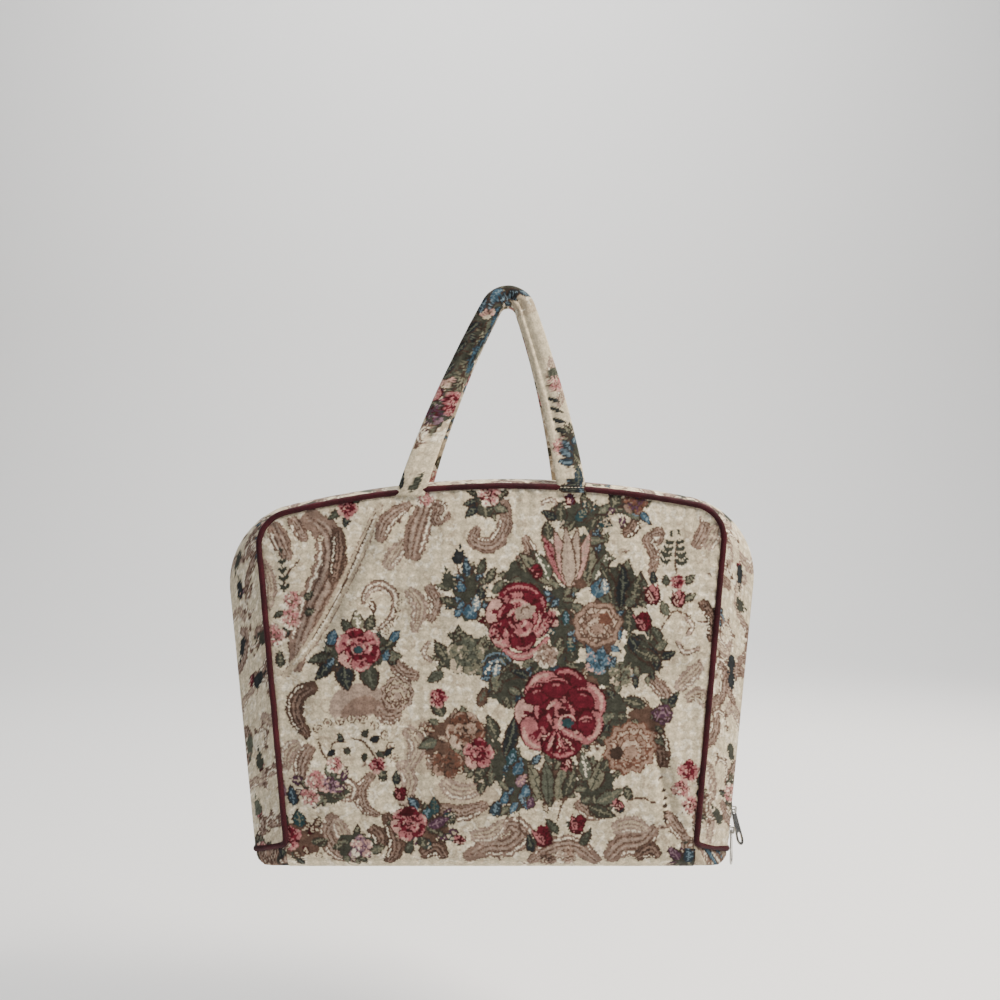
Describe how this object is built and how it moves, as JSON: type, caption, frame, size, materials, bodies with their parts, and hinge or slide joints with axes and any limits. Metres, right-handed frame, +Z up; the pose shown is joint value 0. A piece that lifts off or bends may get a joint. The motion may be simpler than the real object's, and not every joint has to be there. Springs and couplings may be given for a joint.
{
  "type": "toiletry bag",
  "caption": "Zipped toiletry bag of floral tapestry with piped edges, a gusset all round and strap handles, hanging by its handles.",
  "frame": {"origin": "the hanging point, at the underside of the handles' bend, midway between the two handles", "axes": "+Z up, +Y from the front panel to the back, +X to the right seen from the front, towards the end where the sliders are parked"},
  "size_m": [0.3997, 0.07, 0.4444],
  "materials": {
    "tapestry": "woven floral tapestry on cream",
    "piping": "dark burgundy covered cord",
    "zip_tape": "herringbone tape, taupe",
    "zip_teeth": "moulded nylon, taupe",
    "nickel": "nickel plated, satin"
  },
  "bodies": {
    "bag": {"body_panel": "tapestry", "gusset_front": "tapestry", "gusset_back": "tapestry", "piping_front": "piping", "piping_back": "piping", "zip_tape_front": "zip_tape", "zip_tape_back": "zip_tape", "zip_teeth_front": "zip_teeth", "zip_teeth_back": "zip_teeth", "handle_front": "tapestry", "handle_back": "tapestry"},
    "lower_slider": {"slider_lower": "nickel"},
    "upper_slider": {"slider_upper": "nickel"},
    "lower_pull": {"pull_lower": "nickel"},
    "upper_pull": {"pull_upper": "nickel"}
  },
  "joints": [
    {"name": "lower_slide", "type": "slide", "parent": "bag", "child": "lower_slider", "axis": [0.0976, 0, 0.9952], "range_m": [0, 0.085], "deforming": ["zip_teeth_front", "zip_teeth_back"]},
    {"name": "upper_slide", "type": "slide", "parent": "lower_slider", "child": "upper_slider", "axis": [0.0976, 0, 0.9952], "range_m": [0, 0.085], "deforming": ["zip_teeth_front", "zip_teeth_back"]},
    {"name": "lower_pull_swing", "type": "hinge", "parent": "lower_slider", "child": "lower_pull", "pos_m": [0.17191, 0, -0.40187], "axis": [0, -1, 0], "range_deg": [0, 75]},
    {"name": "upper_pull_swing", "type": "hinge", "parent": "upper_slider", "child": "upper_pull", "pos_m": [0.17347, 0, -0.38595], "axis": [0, -1, 0], "range_deg": [0, 150]}
  ]
}
